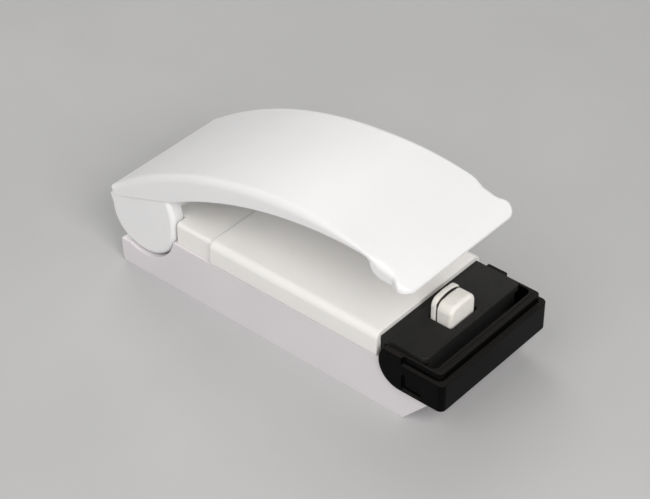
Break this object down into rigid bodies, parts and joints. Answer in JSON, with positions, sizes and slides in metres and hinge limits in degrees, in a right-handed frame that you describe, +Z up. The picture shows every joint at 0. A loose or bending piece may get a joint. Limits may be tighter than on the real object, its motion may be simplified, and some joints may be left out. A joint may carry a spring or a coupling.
{
  "type": "handheld bag sealer",
  "caption": "Hand-held battery bag sealer: a sprung arched lever presses a bag's mouth onto a small heated block on a black head with a hinged guard.",
  "frame": {"origin": "middle of the footprint, on the surface that the sealer stands on", "axes": "+X from the hinge end to the black head, +Z up, Y across the width"},
  "size_m": [0.1028, 0.0404, 0.0433],
  "materials": {
    "white_plastic": "soft gloss, slightly translucent, cool off-white moulding",
    "matte_black": "fine spark-eroded texture",
    "gloss_black": "polished moulding",
    "heater_ceramic": "unglazed, slightly rough, cream white",
    "heating_ribbon": "oxidised resistance strip",
    "brown_resin": "heat-resistant moulding",
    "silicone": "soft grey strip",
    "steel": "bright drawn and plated steel",
    "brass": "spring brass strip",
    "cell_case": null,
    "wire_cover": "thin insulated leads, one red and one black"
  },
  "bodies": {
    "base": {"base_shell": "white_plastic", "rear_block": "white_plastic", "top_cover": "white_plastic", "head_plate": "matte_black", "head_body": "matte_black", "lever_pin": "steel", "lever_spring": "steel", "guard_pins": "steel", "heater_spring": "steel", "switch_fixed_leaf": "brass", "battery_cell_near": "cell_case", "battery_cell_far": "cell_case", "negative_contact": "steel", "positive_contact": "steel", "bridge_contact": "steel", "lead_wires": "wire_cover", "housing_screws": "steel"},
    "lever": {"lever_shell": "white_plastic", "pad_holder": "white_plastic", "press_pad": "silicone"},
    "heater": {"heater_front_cheek": "heater_ceramic", "heater_rear_cheek": "heater_ceramic", "heater_ribbon": "heating_ribbon", "heater_carrier": "brown_resin", "heater_terminals": "brass", "switch_moving_leaf": "brass"},
    "guard": {"guard": "gloss_black"},
    "door": {"battery_door": "white_plastic"}
  },
  "joints": [
    {"name": "lever_hinge", "type": "hinge", "parent": "base", "child": "lever", "pos_m": [-0.041, 0, 0.0163], "axis": [0, 1, 0], "range_deg": [0, 8.2], "stiffness_Nm_per_rad": 0.5, "springref_deg": -17.19, "deforming": ["lever_spring"]},
    {"name": "heater_press", "type": "slide", "parent": "base", "child": "heater", "axis": [0, 0, -1], "range_m": [0, 0.001], "deforming": ["heater_spring"]},
    {"name": "guard_hinge", "type": "hinge", "parent": "base", "child": "guard", "pos_m": [0.0394, 0, 0.0145], "axis": [0, -1, 0], "range_deg": [0, 40]},
    {"name": "door_slide", "type": "slide", "parent": "base", "child": "door", "axis": [-1, 0, 0], "range_m": [0, 0.078]}
  ],
  "couplings": [
    {"joint": "heater_press", "follows": "lever_hinge", "m_per_rad": 0.00698}
  ]
}
